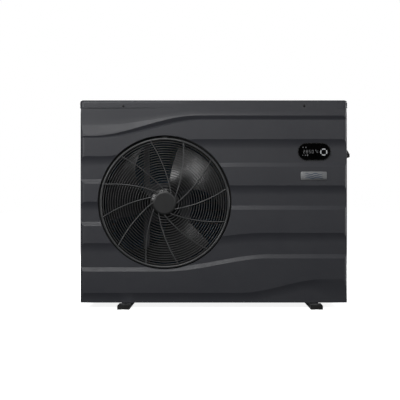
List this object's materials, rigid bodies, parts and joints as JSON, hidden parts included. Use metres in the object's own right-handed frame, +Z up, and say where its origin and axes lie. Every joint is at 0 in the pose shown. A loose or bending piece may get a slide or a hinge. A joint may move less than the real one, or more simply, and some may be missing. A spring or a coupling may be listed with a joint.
{
  "type": "pool heat pump",
  "caption": "Box-shaped outdoor pool water heat pump with a round front fan guard, wave-banded front, small display, rear water unions and rubber-footed rails.",
  "frame": {"origin": "middle of the four foot bolts, on the floor under the rubber feet", "axes": "+X to the right as seen from the front, +Y from the front to the back, +Z up; the fan faces -Y"},
  "size_m": [0.8928, 0.468, 0.67],
  "materials": {
    "case_plastic": "fine moulded grain, satin, anthracite",
    "case_steel": "anthracite powder coat",
    "guard_steel": "anthracite dip coat, semi-gloss",
    "galvanised_steel": "zinc coated, dull",
    "black_plastic": "black moulded plastic",
    "grey_plastic": "dark grey pipe-fitting plastic",
    "rubber": "black rubber",
    "display_gloss": "gloss black window with lit symbols",
    "display_frame": "thin gloss frame",
    "badge_metal": "satin plate with plain wave lines",
    "blue_fins": "blue coated aluminium fins",
    "copper": "copper tube, slightly tarnished",
    "brass": "machined brass",
    "titanium": "titanium tube",
    "black_enamel": "black enamel",
    "motor_aluminium": "cast aluminium",
    "bright_steel": "bright zinc",
    "motor_core": "laminated core",
    "circuit_board": "green circuit board",
    "black_screws": "black zinc screws"
  },
  "bodies": {
    "case": {"accumulator": "black_enamel", "badge": "badge_metal", "base_tray": "galvanised_steel", "cable_glands": "black_plastic", "case_screws": "black_screws", "coil_end_plates": "galvanised_steel", "compressor": "black_enamel", "compressor_base_plate": "galvanised_steel", "compressor_bolts": "bright_steel", "compressor_grommets": "rubber", "corner_posts": "galvanised_steel", "discharge_pipe": "copper", "display_bezel": "display_frame", "display_board": "circuit_board", "display_housing": "black_plastic", "display_lens": "display_gloss", "drain_nozzle": "black_plastic", "electronics_box": "galvanised_steel", "evaporator_bends": "copper", "evaporator_fins": "blue_fins", "exchanger_cap": "black_plastic", "expansion_valve": "brass", "fan_guard": "guard_steel", "fan_shroud": "black_plastic", "filter_drier": "copper", "foot_rail_left": "galvanised_steel", "foot_rail_right": "galvanised_steel", "four_way_valve": "brass", "front_panel": "case_plastic", "gas_pipes": "copper", "guard_hub_plate": "guard_steel", "heat_exchanger_shell": "black_plastic", "heat_sink": "motor_aluminium", "inverter_board": "circuit_board", "left_coil_guard": "case_steel", "liquid_pipes": "copper", "motor_bearings": "bright_steel", "motor_housing": "motor_aluminium", "motor_plate": "case_steel", "motor_stator": "motor_core", "motor_struts": "case_steel", "partition_panel": "galvanised_steel", "rear_coil_guard": "case_steel", "rear_panel": "case_steel", "right_side_panel": "case_steel", "rubber_feet": "rubber", "suction_pipes": "copper", "terminal_block": "black_plastic", "titanium_coil": "titanium", "top_cover": "case_plastic", "top_cross_rail": "galvanised_steel", "union_seals": "rubber", "union_tails": "grey_plastic", "wiring_hood": "black_plastic"},
    "fan_rotor": {"fan": "black_plastic", "fan_nut": "bright_steel", "motor_shaft": "bright_steel", "motor_rotor": "motor_core"},
    "inlet_nut": {"union_nut_inlet": "grey_plastic"},
    "outlet_nut": {"union_nut_outlet": "grey_plastic"}
  },
  "joints": [
    {"name": "fan_spin", "type": "hinge", "parent": "case", "child": "fan_rotor", "pos_m": [-0.178, -0.13, 0.339], "axis": [0, 1, 0], "continuous": true},
    {"name": "inlet_nut_turn", "type": "hinge", "parent": "case", "child": "inlet_nut", "pos_m": [0.295, 0.2, 0.13], "axis": [0, 1, 0], "continuous": true},
    {"name": "outlet_nut_turn", "type": "hinge", "parent": "case", "child": "outlet_nut", "pos_m": [0.295, 0.2, 0.4], "axis": [0, 1, 0], "continuous": true}
  ]
}
